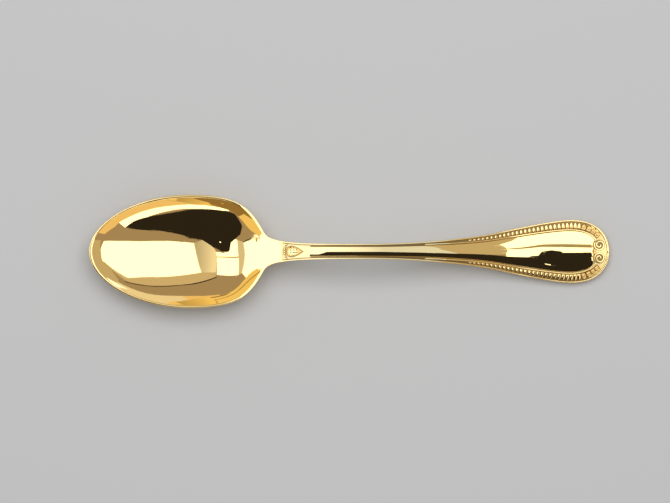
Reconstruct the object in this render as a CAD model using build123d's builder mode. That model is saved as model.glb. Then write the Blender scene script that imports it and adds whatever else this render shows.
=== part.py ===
"""Teaspoon with a struck border on its arched handle.

The bowl lies towards -X and the handle towards +X. Z is up, the table is at Z = 0 and the
origin is under the middle of the spoon. Places along the spoon are measured from the tip of
the bowl or from the end of the handle. All sizes are millimetres.
"""

from build123d import *
from scipy.interpolate import CubicSpline
import math
import os

# Overall sizes
spoon_length = 140.0
bowl_width = 30.4
neck_width = 5.7
stem_width = 4.1
end_width = 17.0

# Plan of the bowl, from its tip; a pull is how far a curve runs on along its tangent
bowl_widest_at = 27.0
shoulder_at = 46.0
shoulder_width = 13.7
shoulder_angle = 58.8
neck_at = 51.6
neck_angle = 10.8
tip_pull = 7.4
side_pull = 15.0
back_pull = 12.0
shoulder_pull_in = 6.5
shoulder_pull_out = 2.6
neck_pull_in = 4.6

# Plan of the handle, from its end; the pulls of the neck and stem are shares of the run between
neck_pull_share = 0.19
stem_from_end = 64.6
stem_pull_share = 0.437
stem_pull_out = 11.1
flare_from_end = 30.0
flare_width = 10.2
flare_angle = 13.1
flare_pull_in = 7.7
flare_pull_out = 4.3
end_widest_from_end = 10.35
end_pull_in = 4.3
end_pull_out = 6.8
end_pull = 5.0

# Bowl in side view
bowl_wall = 1.15
bowl_depth = 7.2
bowl_deepest_at = 33.5
bowl_tip_slope = 0.6
rim_width = 0.6
rim_thickness = 0.85
neck_hollow = 0.06
resting_cut = 0.08

# Shape of the dish along the spoon, as shares of its depth and of the run up to the neck
front_rise = 0.26
heel_start_at = 0.33
heel_start_rise = 0.16
heel_end_at = 0.72
heel_end_rise = 0.74

# Neck and handle in side view
neck_height = 9.7
neck_slope = 0.25
neck_thickness = 3.0
neck_back_radius = 4.0
crest_at = 78.0
crest_height = 12.3
stem_thickness = 2.6
stem_back_crown = 0.8
fall_from_end = 28.0
fall_height = 4.2
end_upturn = 0.1
end_thickness = 1.9
end_back_crown = 0.5
end_lift = 0.45
back_edge_radius = 0.8

# Relief on the handle, as heights above the blank
relief_sink = 0.3
edge_rib_width = 0.42
edge_rib_height = 0.35
panel_from_neck = 7.6
panel_stem_width = 2.64
panel_flare_width = 6.1
panel_flare_angle = 9.4
panel_end_width = 11.1
panel_widest_from_end = 10.7
panel_from_end = 3.1
panel_pull_out = 4.7
panel_end_pull = 4.2
panel_edge_height = 0.2
panel_crown = 0.5
panel_groove = 0.15
fillet_width = 0.33
fillet_height = 0.45
fillet_from_end = 50.0
border_clearance = 0.06
tongue_pitch = 1.17
tongue_gap = 0.12
tongue_height = 0.42
tongue_bevel = 0.22
tongue_round = 0.7
tongues_from_end = 38.6
egg_count = 4
egg_pitch = 1.7
egg_gap = 0.5
egg_height = 0.5
egg_bevel = 0.4
eggs_from_end = 7.3
volute_from_end = 2.65
volute_spacing = 3.56
volute_radius = 1.36
volute_eye = 0.3
volute_start = 150.0
volute_turns = 1.6
volute_tightening = 1.5
volute_line = 0.32
volute_height = 0.5
volute_clearance = 0.1
palmette_from_end = 3.3
palmette_reach = 0.62
palmette_petal_length = 0.62
palmette_petal_width = 0.3
palmette_petals = 3
palmette_spread = 120.0
palmette_height = 0.4
pearl_count = 7
pearl_radius = 0.29
pearl_pitch = 0.62
pearls_from_neck = 0.85
pearl_row_bow = 0.5
leaf_from_neck = 1.5
leaf_length = 4.2
leaf_width = 2.9
leaf_height = 0.45
leaf_bevel = 0.45
leaf_belly = 1.3
leaf_belly_at = 0.4

# Working allowances: how far tools run past the spoon, and how finely curves are stepped
tool_overhang = 1.2
tool_run_out = 1.0
blank_overhang = 0.8
arc_reach = 0.92
bowl_steps = 20
handle_steps = 12
scroll_steps = 24

# Places on the length of the spoon
tip_x = -spoon_length / 2
end_x = spoon_length / 2
widest_x = tip_x + bowl_widest_at
deepest_x = tip_x + bowl_deepest_at
shoulder_x = tip_x + shoulder_at
neck_x = tip_x + neck_at
crest_x = tip_x + crest_at
stem_x = end_x - stem_from_end
flare_x = end_x - flare_from_end
fall_x = end_x - fall_from_end
end_widest_x = end_x - end_widest_from_end
panel_x = neck_x + panel_from_neck
panel_end_x = end_x - panel_from_end
panel_widest_x = end_x - panel_widest_from_end
fillet_x = end_x - fillet_from_end

# Side view of the bowl: the line along the bottom of the dish and the line of the rim
floor_height = bowl_wall - resting_cut
rim_height = floor_height + bowl_depth
heel_rise = neck_height - floor_height
heel_run = neck_x - deepest_x
keel = CubicSpline(
    [
        tip_x + rim_width,
        (tip_x + deepest_x) / 2,
        deepest_x,
        deepest_x + heel_start_at * heel_run,
        deepest_x + heel_end_at * heel_run,
        neck_x,
    ],
    [
        rim_height,
        floor_height + front_rise * bowl_depth,
        floor_height,
        floor_height + heel_start_rise * heel_rise,
        floor_height + heel_end_rise * heel_rise,
        neck_height,
    ],
    bc_type=((1, -bowl_tip_slope), (1, neck_slope)),
)
rim = CubicSpline(
    [tip_x, widest_x, neck_x],
    [rim_height, rim_height, neck_height + neck_hollow],
    bc_type=((1, 0), (1, neck_slope)),
)
neck_back_crown = neck_back_radius - math.sqrt(neck_back_radius**2 - neck_width**2 / 4)
neck_edge_thickness = neck_thickness * math.hypot(1, neck_slope) + neck_hollow - neck_back_crown


def heel_share(x):
    """How far a place lies from the deepest part to the neck, eased at both ends."""
    share = min(max((x - deepest_x) / heel_run, 0), 1)
    return share**2 * (3 - 2 * share)


def back_keel(x):
    """The line along the bottom of the bowl's back, which thickens towards the neck."""
    wall = bowl_wall + heel_share(x) * (neck_thickness - bowl_wall)
    return keel(x) - wall * math.hypot(1, float(keel(x, 1)))


def rim_underside(x):
    """The height of the lower edge of the rim, which thickens towards the neck too."""
    return rim(x) - rim_thickness - heel_share(x) * (neck_edge_thickness - rim_thickness)


# Side view of the handle: the top of the blank, its thickness and the crown of its back
end_height = end_thickness + end_lift
ground = CubicSpline(
    [neck_x, crest_x, fall_x, end_x],
    [neck_height, crest_height, fall_height, end_height],
    bc_type=((1, neck_slope), (1, end_upturn)),
)
thickness = CubicSpline(
    [neck_x, stem_x, flare_x, end_x],
    [neck_thickness, stem_thickness, end_thickness, end_thickness],
    bc_type=((1, 0), (1, 0)),
)
back_crown = CubicSpline(
    [neck_x, stem_x, end_widest_x],
    [neck_back_crown, stem_back_crown, end_back_crown],
    bc_type=((1, 0), (1, 0)),
)


def along(angle, length):
    """A step of some length at an angle to +X."""
    return Vector(length, 0).rotate(Axis.Z, angle)


# Half outlines in plan, from the tip of the bowl to the end of the handle
tip_point = Vector(tip_x, 0)
widest_point = Vector(widest_x, bowl_width / 2)
shoulder_point = Vector(shoulder_x, shoulder_width / 2)
neck_point = Vector(neck_x, neck_width / 2)
stem_point = Vector(stem_x, stem_width / 2)
flare_point = Vector(flare_x, flare_width / 2)
end_widest_point = Vector(end_widest_x, end_width / 2)
end_point = Vector(end_x, 0)

stem_run = stem_x - neck_x


def bowl_line(inset):
    """Half outline of the bowl from its tip to the neck, drawn in from its edge."""
    tip = tip_point + along(0, inset)
    widest = widest_point - along(90, inset)
    shoulder = shoulder_point - along(90 - shoulder_angle, inset)
    neck = neck_point - along(90, inset)
    with BuildLine() as line:
        Bezier(tip, tip + along(90, tip_pull), widest - along(0, side_pull), widest)
        Bezier(
            widest,
            widest + along(0, back_pull),
            shoulder - along(-shoulder_angle, shoulder_pull_in),
            shoulder,
        )
        Bezier(
            shoulder,
            shoulder + along(-shoulder_angle, shoulder_pull_out),
            neck - along(-neck_angle, neck_pull_in),
            neck,
        )
    return line.line


def handle_line(inset):
    """Half outline of the handle from the neck to the end, drawn in from its edge."""
    step = Vector(0, -inset)
    neck = neck_point + step + along(0, inset)
    stem = stem_point + step
    flare = flare_point + step
    widest = end_widest_point + step
    end = end_point - along(0, inset)
    with BuildLine() as line:
        Bezier(
            neck,
            neck + along(-neck_angle, neck_pull_share * stem_run),
            stem - along(0, stem_pull_share * stem_run),
            stem,
        )
        Bezier(
            stem,
            stem + along(0, stem_pull_out),
            flare - along(flare_angle, flare_pull_in),
            flare,
        )
        Bezier(
            flare,
            flare + along(flare_angle, flare_pull_out),
            widest - along(0, end_pull_in),
            widest,
        )
        Bezier(widest, widest + along(0, end_pull_out), end + along(90, end_pull), end)
    return line.line


panel_start_point = Vector(panel_x, panel_stem_width / 2)
panel_stem_point = Vector(stem_x, panel_stem_width / 2)
panel_flare_point = Vector(flare_x, panel_flare_width / 2)
panel_widest_point = Vector(panel_widest_x, panel_end_width / 2)
panel_end_point = Vector(panel_end_x, 0)


def panel_line(grow):
    """Half outline of the panel from its start to its end, drawn out from its edge."""
    step = Vector(0, grow)
    start = panel_start_point + step
    stem = panel_stem_point + step
    flare = panel_flare_point + step
    widest = panel_widest_point + step
    end = panel_end_point + along(0, grow)
    with BuildLine() as line:
        Line(start, stem)
        Bezier(
            stem,
            stem + along(0, stem_pull_out),
            flare - along(panel_flare_angle, flare_pull_in),
            flare,
        )
        Bezier(
            flare,
            flare + along(panel_flare_angle, flare_pull_out),
            widest - along(0, end_pull_in),
            widest,
        )
        Bezier(widest, widest + along(0, panel_pull_out), end + along(90, panel_end_pull), end)
    return line.line


def plan(line):
    """The face between a half outline and its mirror image."""
    start = line.wires()[0] @ 0
    with BuildSketch() as face:
        with BuildLine():
            add(line)
            mirror(line, about=Plane.XZ)
            Line(start, (start.X, -start.Y))
        make_face()
    return face.sketch


def share_at(edge, x):
    """How far along an outline a place lies, from 0 at its start to 1 at its end."""
    low, high = 0.0, 1.0
    for step in range(40):
        middle = (low + high) / 2
        if (edge @ middle).X < x:
            low = middle
        else:
            high = middle
    return low


def stations(edge, x, count):
    """Places and half widths along an outline, from its start to x."""
    shares = [share_at(edge, x) * k / count for k in range(count + 1)]
    return [((edge @ share).X, (edge @ share).Y) for share in shares]


# Tools for the bowl: a punch for the dish and a die for its back, both open upwards
lid_height = rim_height + bowl_width
tool_half = bowl_width / 2 + tool_overhang


def trough(x, bottom, radius):
    """A round-bottomed section across the spoon, open to the lid."""
    half = min(arc_reach * radius, tool_half)
    side_height = bottom + radius - math.sqrt(radius**2 - half**2)
    with BuildSketch(Plane.YZ.offset(x)) as section:
        with BuildLine():
            ThreePointArc((-half, side_height), (0, bottom), (half, side_height))
            Line((half, side_height), (half, lid_height))
            Line((half, lid_height), (-half, lid_height))
            Line((-half, lid_height), (-half, side_height))
        make_face()
    return section.sketch


def arc_radius(half, rise):
    """The radius of an arc with some half width and rise."""
    return (half**2 + rise**2) / (2 * rise)


def tool_sections(line, bottom, side_height):
    """Sections along the bowl, whose arcs run from a bottom line up to a half outline."""
    edge = line.wires()[0]
    points = [edge @ (k / bowl_steps) for k in range(2, bowl_steps + 1)]
    radii = [arc_radius(p.Y, float(side_height(p.X) - bottom(p.X))) for p in points]
    places = [tip_x - tool_run_out] + [p.X for p in points] + [neck_x + tool_run_out]
    radii = radii[:1] + radii + radii[-1:]
    return [trough(x, float(bottom(x)), radius) for x, radius in zip(places, radii)]


with BuildPart() as punch:
    loft(tool_sections(bowl_line(rim_width), keel, rim))

with BuildPart() as die:
    loft(tool_sections(bowl_line(0), back_keel, rim_underside))

# Bowl: the plan, pressed between the tools, with its rim cut level and a flat to rest on
bowl_edge = bowl_line(0).wires()[0]
rim_places = [tip_x - tool_run_out]
rim_places += [(bowl_edge @ (k / bowl_steps)).X for k in range(2, bowl_steps + 1)]
rim_places += [neck_x + tool_run_out]
with BuildPart() as bowl:
    with BuildSketch():
        with BuildLine():
            add(bowl_line(0))
            mirror(bowl_line(0), about=Plane.XZ)
            Line(neck_point, (neck_x, -neck_width / 2))
        make_face()
    extrude(amount=lid_height - 1)
    add(die.part, mode=Mode.INTERSECT)
    add(punch.part, mode=Mode.SUBTRACT)
    with BuildSketch(Plane.XZ):
        with BuildLine():
            Spline(*[(x, float(rim(x))) for x in rim_places])
            Line((rim_places[-1], float(rim(rim_places[-1]))), (rim_places[-1], lid_height))
            Line((rim_places[-1], lid_height), (rim_places[0], lid_height))
            Line((rim_places[0], lid_height), (rim_places[0], float(rim(rim_places[0]))))
        make_face()
    extrude(amount=bowl_width, both=True, mode=Mode.SUBTRACT)

# Handle blank: an arched bar with a flat top and a crowned back, cut to its plan
handle_edge = handle_line(0).wires()[0]
blank_stations = [(neck_x - tool_run_out, neck_width / 2)]
blank_stations += stations(handle_edge, end_widest_x, handle_steps)
blank_stations += [(end_x - end_widest_from_end / 2, end_width / 2)]
blank_stations += [(end_x + tool_run_out, end_width / 2)]


def layer_section(x, low, high):
    """A flat layer between two heights above the blank at one place along the handle."""
    base = float(ground(x))
    with BuildSketch(Plane.YZ.offset(x)) as section:
        with BuildLine():
            Polyline(
                (-end_width, base + low),
                (end_width, base + low),
                (end_width, base + high),
                (-end_width, base + high),
                close=True,
            )
        make_face()
    return section.sketch


# The space above the blank, whose lower face is the ground that the relief stands on
with BuildPart() as above:
    loft([layer_section(x, 0, lid_height) for x, side in blank_stations])


def blank_section(x, side):
    """The blank at one place along the handle, a little larger than its plan and its top."""
    top = float(ground(x)) + relief_sink
    bottom = float(ground(x)) - float(thickness(x)) * math.hypot(1, float(ground(x, 1)))
    crown = float(back_crown(min(x, end_widest_x)))
    radius = arc_radius(side, crown)
    half = min(side + blank_overhang, arc_reach * radius)
    corner = bottom + radius - math.sqrt(radius**2 - half**2)
    with BuildSketch(Plane.YZ.offset(x)) as section:
        with BuildLine():
            Line((-half, top), (half, top))
            Line((half, top), (half, corner))
            ThreePointArc((half, corner), (0, bottom), (-half, corner))
            Line((-half, corner), (-half, top))
        make_face()
    return section.sketch


with BuildPart() as handle:
    loft([blank_section(x, side) for x, side in blank_stations])
    with BuildSketch():
        add(plan(handle_line(0)))
    extrude(amount=lid_height, mode=Mode.INTERSECT)
    add(above.part, mode=Mode.SUBTRACT)
    back = faces().filter_by(lambda face: face.normal_at().Z < -0.5).sort_by(SortBy.AREA)[-1]
    fillet(back.edges().filter_by(lambda edge: edge.center().X > neck_x + 0.1), back_edge_radius)

# Edge rib: a raised line round the whole handle and across the neck
with BuildPart() as edge_rib:
    loft([layer_section(x, -relief_sink, edge_rib_height) for x, side in blank_stations])
    with BuildSketch():
        add(plan(handle_line(0)))
        add(plan(handle_line(edge_rib_width)), mode=Mode.SUBTRACT)
    extrude(amount=lid_height, mode=Mode.INTERSECT)
    add(above.part, mode=Mode.INTERSECT)


def panel_section(x, side):
    """The crowned top of the panel at one place along the handle."""
    base = float(ground(x))
    crest = base + panel_edge_height + panel_crown
    radius = arc_radius(side, panel_crown)
    half = min(side + panel_groove, arc_reach * radius)
    corner = crest - radius + math.sqrt(radius**2 - half**2)
    with BuildSketch(Plane.YZ.offset(x)) as section:
        with BuildLine():
            ThreePointArc((half, corner), (0, crest), (-half, corner))
            Line((-half, corner), (-half, base - relief_sink))
            Line((-half, base - relief_sink), (half, base - relief_sink))
            Line((half, base - relief_sink), (half, corner))
        make_face()
    return section.sketch


volute_x = end_x - volute_from_end
palmette_x = end_x - palmette_from_end
volute_seat = volute_radius + volute_line / 2 + volute_clearance
palmette_seat = palmette_reach + palmette_petal_length / 2 + volute_clearance

# Panel: the smooth crowned field, cut back round the scrolls and the fan between them
panel_edge = panel_line(0).wires()[0]
panel_stations = [(panel_x - tool_run_out, panel_stem_width / 2)]
panel_stations += stations(panel_edge, panel_widest_x, handle_steps)
panel_stations += [(end_x - panel_widest_from_end / 2, panel_end_width / 2)]
panel_stations += [(end_x + tool_run_out, panel_end_width / 2)]
with BuildPart() as panel:
    loft([panel_section(x, side) for x, side in panel_stations])
    with BuildSketch():
        add(plan(panel_line(0)))
        with Locations((volute_x, volute_spacing / 2), (volute_x, -volute_spacing / 2)):
            Circle(volute_seat, mode=Mode.SUBTRACT)
        with Locations((palmette_x, 0)):
            Circle(palmette_seat, mode=Mode.SUBTRACT)
    extrude(amount=lid_height, mode=Mode.INTERSECT)
    add(above.part, mode=Mode.INTERSECT)

# Panel fillet: a thin raised line round the panel, from the stem to the scrolls
with BuildPart() as panel_fillet:
    loft([layer_section(x, -relief_sink, fillet_height) for x, side in blank_stations])
    with BuildSketch():
        add(plan(panel_line(panel_groove + fillet_width)))
        add(plan(panel_line(panel_groove)), mode=Mode.SUBTRACT)
        with Locations((fillet_x, 0)):
            Rectangle(spoon_length, end_width, align=(Align.MAX, Align.CENTER), mode=Mode.SUBTRACT)
        with Locations((volute_x, volute_spacing / 2), (volute_x, -volute_spacing / 2)):
            Circle(volute_seat, mode=Mode.SUBTRACT)
        with Locations((end_x, 0)):
            Rectangle(2 * panel_from_end, volute_spacing, mode=Mode.SUBTRACT)
    extrude(amount=lid_height, mode=Mode.INTERSECT)
    add(above.part, mode=Mode.INTERSECT)


def border_plane(share, inwards):
    """A plane on the blank in the border, with its X along the edge and its Y outwards."""
    run = handle_edge % share
    point = handle_edge @ share + inwards * Vector(run.Y, -run.X)
    slope = float(ground(point.X, 1))
    return Plane(
        origin=(point.X, point.Y, float(ground(point.X))),
        x_dir=(run.X, run.Y, slope * run.X),
        z_dir=(-slope, 0, 1),
    )


def tongue_section(plane, width, length):
    """A tongue seen from above: square towards the panel, round at the edge of the handle."""
    outer = length / 2
    shoulder = outer - min(width / 2, tongue_round * length)
    with BuildSketch(plane) as section:
        with BuildLine():
            Line((width / 2, -outer), (-width / 2, -outer))
            Line((-width / 2, -outer), (-width / 2, shoulder))
            ThreePointArc((-width / 2, shoulder), (0, outer), (width / 2, shoulder))
            Line((width / 2, shoulder), (width / 2, -outer))
        make_face()
    return section.sketch


def tongue_sections(share, width, height, bevel):
    """The foot and the smaller top of one tongue, which fills the depth of the border."""
    outer = edge_rib_width + border_clearance
    inner = panel_edge.distance_to(handle_edge @ share)
    inner -= panel_groove + fillet_width + border_clearance
    length = inner - outer
    bevel = min(bevel, 0.3 * length)
    plane = border_plane(share, (outer + inner) / 2)
    foot = tongue_section(plane.offset(-relief_sink), width, length)
    top = tongue_section(plane.offset(height), width - 2 * bevel, length - 2 * bevel)
    return [foot, top]


first_tongue = share_at(handle_edge, end_x - tongues_from_end) * handle_edge.length
first_egg = share_at(handle_edge, end_x - eggs_from_end) * handle_edge.length
tongue_count = int((first_egg - first_tongue) / tongue_pitch)

# Tongues: the close rows along both sides of the wide part
with BuildPart() as left_tongues:
    for k in range(tongue_count):
        share = (first_egg - (k + 0.5) * tongue_pitch) / handle_edge.length
        loft(tongue_sections(share, tongue_pitch - tongue_gap, tongue_height, tongue_bevel))
    add(above.part, mode=Mode.INTERSECT)

with BuildPart() as right_tongues:
    mirror(left_tongues.part, about=Plane.XZ)

# Eggs: the larger leaves from the tongues round to the scrolls
with BuildPart() as left_eggs:
    for k in range(egg_count):
        share = (first_egg + (k + 0.5) * egg_pitch) / handle_edge.length
        loft(tongue_sections(share, egg_pitch - egg_gap, egg_height, egg_bevel))
    add(above.part, mode=Mode.INTERSECT)

with BuildPart() as right_eggs:
    mirror(left_eggs.part, about=Plane.XZ)


def scroll_point(turn, shift):
    """A point beside the line of a scroll, which winds inwards as turn goes from 0 to 1."""
    radius = volute_radius + turn**volute_tightening * (volute_eye - volute_radius) + shift
    centre = Vector(volute_x, volute_spacing / 2)
    return centre + along(volute_start + 360 * volute_turns * turn, radius)


# Volutes: a pair of scrolls that wind in from the ends of the fillet
scroll_turns = [k / scroll_steps for k in range(scroll_steps + 1)]
outer_line = [scroll_point(turn, volute_line / 2) for turn in scroll_turns]
inner_line = [scroll_point(turn, -volute_line / 2) for turn in scroll_turns]
with BuildPart() as left_volute:
    loft([layer_section(x, -relief_sink, volute_height) for x, side in blank_stations])
    with BuildSketch():
        with BuildLine():
            Spline(*outer_line)
            Line(outer_line[-1], inner_line[-1])
            Spline(*inner_line)
            Line(inner_line[0], outer_line[0])
        make_face()
    extrude(amount=lid_height, mode=Mode.INTERSECT)
    add(above.part, mode=Mode.INTERSECT)

with BuildPart() as right_volute:
    mirror(left_volute.part, about=Plane.XZ)

# Palmette: a small fan of petals between the scrolls, open towards the panel
with BuildPart() as end_palmette:
    loft([layer_section(x, -relief_sink, palmette_height) for x, side in blank_stations])
    with BuildSketch(Plane(origin=(palmette_x, 0, 0))):
        with PolarLocations(
            palmette_reach, palmette_petals, 180 - palmette_spread / 2, palmette_spread
        ):
            Ellipse(palmette_petal_length / 2, palmette_petal_width / 2)
    extrude(amount=lid_height, mode=Mode.INTERSECT)
    add(above.part, mode=Mode.INTERSECT)


def ground_plane(x, y):
    """A plane that lies on the blank, with its X along the handle."""
    slope = float(ground(x, 1))
    return Plane(origin=(x, y, float(ground(x))), x_dir=(1, 0, slope), z_dir=(-slope, 0, 1))


# Pearls: a bowed row of half spheres across the neck
with BuildPart() as neck_pearls:
    for k in range(pearl_count):
        place = 2 * k / (pearl_count - 1) - 1
        pearl_x = neck_x + pearls_from_neck + pearl_row_bow * place**2
        pearl_y = place * pearl_pitch * (pearl_count - 1) / 2
        with Locations(ground_plane(pearl_x, pearl_y)):
            Sphere(pearl_radius, arc_size1=0, align=(Align.CENTER, Align.CENTER, Align.MIN))

leaf_plane = ground_plane(neck_x + leaf_from_neck, 0)


def leaf_section(plane, bevel):
    """The outline of the leaf, round at the pearls and pointed towards the panel."""
    start = Vector(bevel, 0)
    point = Vector(leaf_length - 2 * bevel, 0)
    belly = leaf_belly * (leaf_width / 2 - bevel)
    with BuildSketch(plane) as section:
        with BuildLine():
            Bezier(start, (bevel, belly), (leaf_belly_at * leaf_length, belly), point)
            Bezier(point, (leaf_belly_at * leaf_length, -belly), (bevel, -belly), start)
        make_face()
    return section.sketch


# Leaf: a pointed leaf between the pearls and the panel
with BuildPart() as neck_leaf:
    foot = leaf_section(leaf_plane.offset(-relief_sink), 0)
    top = leaf_section(leaf_plane.offset(leaf_height), leaf_bevel)
    loft([foot, top])
    add(above.part, mode=Mode.INTERSECT)

os.makedirs("parts", exist_ok=True)
pieces = {
    "bowl": bowl,
    "handle": handle,
    "edge_rib": edge_rib,
    "panel": panel,
    "panel_fillet": panel_fillet,
    "left_tongues": left_tongues,
    "right_tongues": right_tongues,
    "left_eggs": left_eggs,
    "right_eggs": right_eggs,
    "left_volute": left_volute,
    "right_volute": right_volute,
    "end_palmette": end_palmette,
    "neck_pearls": neck_pearls,
    "neck_leaf": neck_leaf,
}
for name, piece in pieces.items():
    piece.part.label = name
    export_step(piece.part, f"parts/{name}.step")
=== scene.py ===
import math

import bmesh
import bpy
import numpy as np
from mathutils import Matrix, Vector


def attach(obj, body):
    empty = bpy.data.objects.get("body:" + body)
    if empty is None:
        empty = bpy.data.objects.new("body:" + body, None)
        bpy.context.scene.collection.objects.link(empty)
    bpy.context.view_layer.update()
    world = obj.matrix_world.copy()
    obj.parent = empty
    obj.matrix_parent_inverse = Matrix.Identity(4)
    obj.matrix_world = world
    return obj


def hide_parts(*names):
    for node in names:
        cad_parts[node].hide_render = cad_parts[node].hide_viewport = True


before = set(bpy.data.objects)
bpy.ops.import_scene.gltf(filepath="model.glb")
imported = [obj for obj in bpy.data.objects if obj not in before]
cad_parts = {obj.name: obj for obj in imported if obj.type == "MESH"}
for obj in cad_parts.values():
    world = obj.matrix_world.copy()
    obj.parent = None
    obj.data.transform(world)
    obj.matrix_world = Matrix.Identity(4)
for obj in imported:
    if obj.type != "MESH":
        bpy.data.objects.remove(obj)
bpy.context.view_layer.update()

# Shapes are worked out in millimetres, with the bowl towards -X, and written in metres
MM = 0.001

# Plan of the spoon: points of its half outline, and its direction where it slants
TIP = (-70.0, 0.0)
WIDEST = (-43.0, 15.2)
SHOULDER = (-24.0, 6.85)
NECK = (-18.4, 2.85)
STEM = (5.4, 2.05)
FLARE = (40.0, 5.1)
END_WIDEST = (59.65, 8.5)
END = (70.0, 0.0)
SHOULDER_ANGLE = -58.8
NECK_ANGLE = -10.8
FLARE_ANGLE = 13.1

# How far the curves of the outline pull before and after each of those points
TIP_PULLS = (0.0, 7.4)
WIDEST_PULLS = (15.0, 12.0)
SHOULDER_PULLS = (6.5, 2.6)
NECK_PULLS = (4.6, 4.5)
STEM_PULLS = (10.4, 11.1)
FLARE_PULLS = (7.7, 4.3)
END_WIDEST_PULLS = (4.3, 6.8)
END_PULLS = (5.0, 0.0)

# Side view of the bowl, each line as places along X, heights, and its slope at both ends
KEEL = (
    [-69.4, -53.25, -36.5, -30.527, -23.468, -18.4], [8.27, 2.942, 1.07, 2.451, 7.456, 9.7], -0.6, 0.25,
)
RIM = ([-70, -43, -18.4], [8.27, 8.27, 9.76], 0, 0.25)
DEEPEST_X = -36.5
BOWL_WALL = 1.15
RIM_WIDTH = 0.6
RIM_THICKNESS = 0.85
RIM_BLEND = 0.1
REST_BLEND = 0.02
NECK_EDGE = 1.96
NECK_THICKNESS = 3.0

# Side view of the handle: the top of the blank, its thickness and the crown of its back
GROUND = ([-18.4, 8, 42, 70], [9.7, 12.3, 4.2, 2.35], 0.25, 0.1)
THICKNESS = ([-18.4, 5.4, 40, 70], [3, 2.6, 1.9, 1.9], 0, 0)
BACK_CROWN = ([-18.4, 5.4, 59.65], [1.193, 0.8, 0.5], 0, 0)

# The panel on the handle
PANEL_START = (-10.8, 1.32)
PANEL_STEM = (5.4, 1.32)
PANEL_FLARE = (40.0, 3.05)
PANEL_WIDEST = (59.3, 5.55)
PANEL_END = (66.9, 0.0)
PANEL_ANGLE = 9.4
PANEL_WIDEST_PULLS = (4.3, 4.7)
PANEL_END_PULLS = (4.2, 0.0)
PANEL_EDGE = 0.2
PANEL_CROWN = 0.5
PANEL_SINK = 0.1
SEAT_BLEND = 0.12
SEAT_SINK = 0.03

# The raised lines and the border between them; a fuller line has a flatter top
RELIEF_SINK = 0.08
FLAT_TOP = 4
RIB_WIDTH = 0.42
RIB_HEIGHT = 0.35
RIB_FULLNESS = 1.8
RIB_RIGHT_LEAN = 0.2
RIB_SPREAD = 0.28
RIB_SPREADS = (65, 69)
FILLET_GROOVE = 0.15
FILLET_WIDTH = 0.33
FILLET_HEIGHT = 0.45
FILLET_START = 20.0
FILLET_RISE = (19.5, 26.0)
FILLET_LEFT_LEAN = 0.04
FILLET_RIGHT_LEAN = 0.14
BORDER_ROOM = 0.06
TONGUE_PITCH = 1.17
TONGUE_GAP = 0.1
TONGUE_HEIGHT = 0.42
TONGUE_TAPER = 0.25
TONGUE_EDGE = 6
TONGUE_FALL = 0.12
TONGUES_START = 31.4
EGG_COUNT = 4
EGG_PITCH = 1.7
EGG_GAP = 0.3
EGG_HEIGHT = 0.5
EGG_REACH = 0.36
EGG_LIP = (0.84, 0.15)
EGG_FLOOR = 0.5
LEAF_EDGE = 10
EGGS_START = 62.7

# The scrolls and the fan at the end
VOLUTE = (67.35, 1.78)
VOLUTE_RADIUS = 1.36
VOLUTE_EYE = 0.3
VOLUTE_START = 150
VOLUTE_TURNS = 1.6
VOLUTE_TIGHTENING = 1.5
VOLUTE_LINE = 0.38
VOLUTE_HEIGHT = 0.5
VOLUTE_SEAT = 1.62
PALMETTE_X = 66.7
PALMETTE_REACH = 0.62
PALMETTE_SEAT = 1.03
PALMETTE_HEIGHT = 0.4
PETAL_ANGLES = (120, 180, 240)
PETAL_SIZE = (0.62, 0.3)
PETAL_EDGE = 2.6

# The pearls and the leaf at the neck; shares of the leaf's rise and of its reach from the middle
PEARL_COUNT = 7
PEARL_RADIUS = 0.29
PEARL_PITCH = 0.62
PEARLS_X = -17.55
PEARL_BOW = 0.5
LEAF_X = -16.9
LEAF_LENGTH = 4.2
LEAF_WIDTH = 2.9
LEAF_HEIGHT = 0.45
LEAF_BELLY = 1.3
LEAF_BELLY_AT = 0.4
LEAF_SPINE = 0.6
LEAF_RINGS = np.concatenate([np.linspace(0, 0.9, 12), [0.95, 0.985, 1.0]])
LEAF_FLOOR = 0.55
LEAF_RIB = (0.3, 0.42)
LEAF_LIP = (0.4, 0.85, 0.13)
VEIN_PITCH = 0.8
VEIN_SWEEP = 0.7
VEIN_DEPTH = 0.17
VEINS_START = (0.1, 0.3)
VEINS_STOP = (0.62, 0.78)

# Hollows that get painted shade and more roughness: heights above the blank, or distances from a form,
# where they begin and stop
RIB_HOLLOW = (-0.05, 0.03)
FILLET_HOLLOW = (-0.05, 0.05)
TONGUE_HOLLOW = (0.0, 0.15)
EGG_HOLLOW = (0.0, 0.12)
SMALL_HOLLOW = (0.0, 0.1)
GROOVE_START = 0.4
PLAIN_END = (64, 66)
PLAIN_END_SHARE = 0.65
SCROLL_GROUND = (1.35, 1.55)
PEARL_GROUND = (0.3, 0.5)
LEAF_GROUND = (0.1, 0.3)
RIB_GROUND = (RIB_WIDTH + 0.12, RIB_WIDTH + 0.3)
LINE_SHARE = 0.9
NECK_SHARE = 0.12
ON_GROUND = 0.02

# How finely the meshes are divided, and how near to each other points become one
CURVE_POINTS = 200
STRAIGHT_POINTS = 50
BEND_POINTS = 400
BEND_START = 0.35
BOWL_POINTS = 200
HANDLE_POINTS = 320
PANEL_POINTS = 420
RIB_POINTS = 400
RIB_ACROSS_POINTS = 24
FILLET_POINTS = 600
SCROLL_POINTS = 120
LEAF_POINTS = 40
EDGE_RINGS = 14
EDGE_STEPS = 7
RIDGE_STEPS = 13
SLOPE_REACH = 0.01
EDGE_REACH = 0.05
SHAPE_FOOT = -0.25
SHARP_ANGLE = 40
ROW_SHARP_ANGLE = 50
LEAST_DEPTH = 1e-6
WELD = 0.0005
NO_LENGTH = 1e-9
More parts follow.
